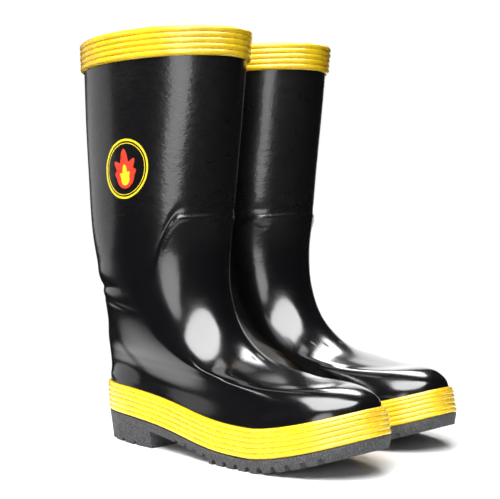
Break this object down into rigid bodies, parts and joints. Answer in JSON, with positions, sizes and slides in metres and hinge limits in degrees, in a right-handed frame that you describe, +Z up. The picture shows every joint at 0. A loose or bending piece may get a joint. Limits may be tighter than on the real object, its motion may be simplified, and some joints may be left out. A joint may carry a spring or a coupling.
{
  "type": "fire boots",
  "caption": "Tall rubber firefighting boots, black with yellow ribbed bands, steel toe caps and plates, lugged soles and legs that flex at the ankle.",
  "frame": {"origin": "middle of the pair's bounding box, on the floor", "axes": "+X towards the toes, +Y towards the wearer's left, +Z up"},
  "size_m": [0.3387, 0.2546, 0.3575],
  "materials": {
    "black_rubber": "lacquered, glossy",
    "yellow_rubber": "ribbed, semi-gloss",
    "sole_rubber": "matt, moulded",
    "lining_fabric": "knitted cotton",
    "ply_canvas": "rubberised canvas",
    "steel": "cold rolled",
    "fibre_board": "pressed fibre",
    "foam": "sponge rubber",
    "footbed_foam": "cloth-covered foam",
    "badge_print": "printed transfer, semi-gloss"
  },
  "bodies": {
    "right_foot": {"right_outsole": "sole_rubber", "right_heel_core": "foam", "right_midsole_filler": "foam", "right_steel_midsole": "steel", "right_insole_board": "fibre_board", "right_footbed": "footbed_foam", "right_foxing_band": "yellow_rubber", "right_vamp_upper": "black_rubber", "right_ankle_upper": "black_rubber", "right_steel_toe_cap": "steel", "right_toe_cap_strip": "foam", "right_vamp_ply": "ply_canvas", "right_heel_counter": "fibre_board", "right_lining_foot": "lining_fabric", "right_lining_ankle": "lining_fabric"},
    "right_shaft": {"right_shaft_upper": "black_rubber", "right_lining_shaft": "lining_fabric", "right_top_band": "yellow_rubber", "right_badge": "badge_print"},
    "left_foot": {"left_outsole": "sole_rubber", "left_heel_core": "foam", "left_midsole_filler": "foam", "left_steel_midsole": "steel", "left_insole_board": "fibre_board", "left_footbed": "footbed_foam", "left_foxing_band": "yellow_rubber", "left_vamp_upper": "black_rubber", "left_ankle_upper": "black_rubber", "left_steel_toe_cap": "steel", "left_toe_cap_strip": "foam", "left_vamp_ply": "ply_canvas", "left_heel_counter": "fibre_board", "left_lining_foot": "lining_fabric", "left_lining_ankle": "lining_fabric"},
    "left_shaft": {"left_shaft_upper": "black_rubber", "left_lining_shaft": "lining_fabric", "left_top_band": "yellow_rubber", "left_badge": "badge_print"}
  },
  "joints": [
    {"name": "right_ankle_flex", "type": "hinge", "parent": "right_foot", "child": "right_shaft", "pos_m": [-0.06449, -0.0642, 0.15], "axis": [0, 1, 0], "range_deg": [-12, 15], "stiffness_Nm_per_rad": 6, "deforming": ["right_ankle_upper", "right_lining_ankle"]},
    {"name": "left_boot_lift", "type": "slide", "parent": "right_foot", "child": "left_foot", "axis": [0, 0, 1], "range_m": [0, 0.38]},
    {"name": "left_ankle_flex", "type": "hinge", "parent": "left_foot", "child": "left_shaft", "pos_m": [-0.08249, 0.0642, 0.15], "axis": [0, 1, 0], "range_deg": [-12, 15], "stiffness_Nm_per_rad": 6, "deforming": ["left_ankle_upper", "left_lining_ankle"]}
  ]
}
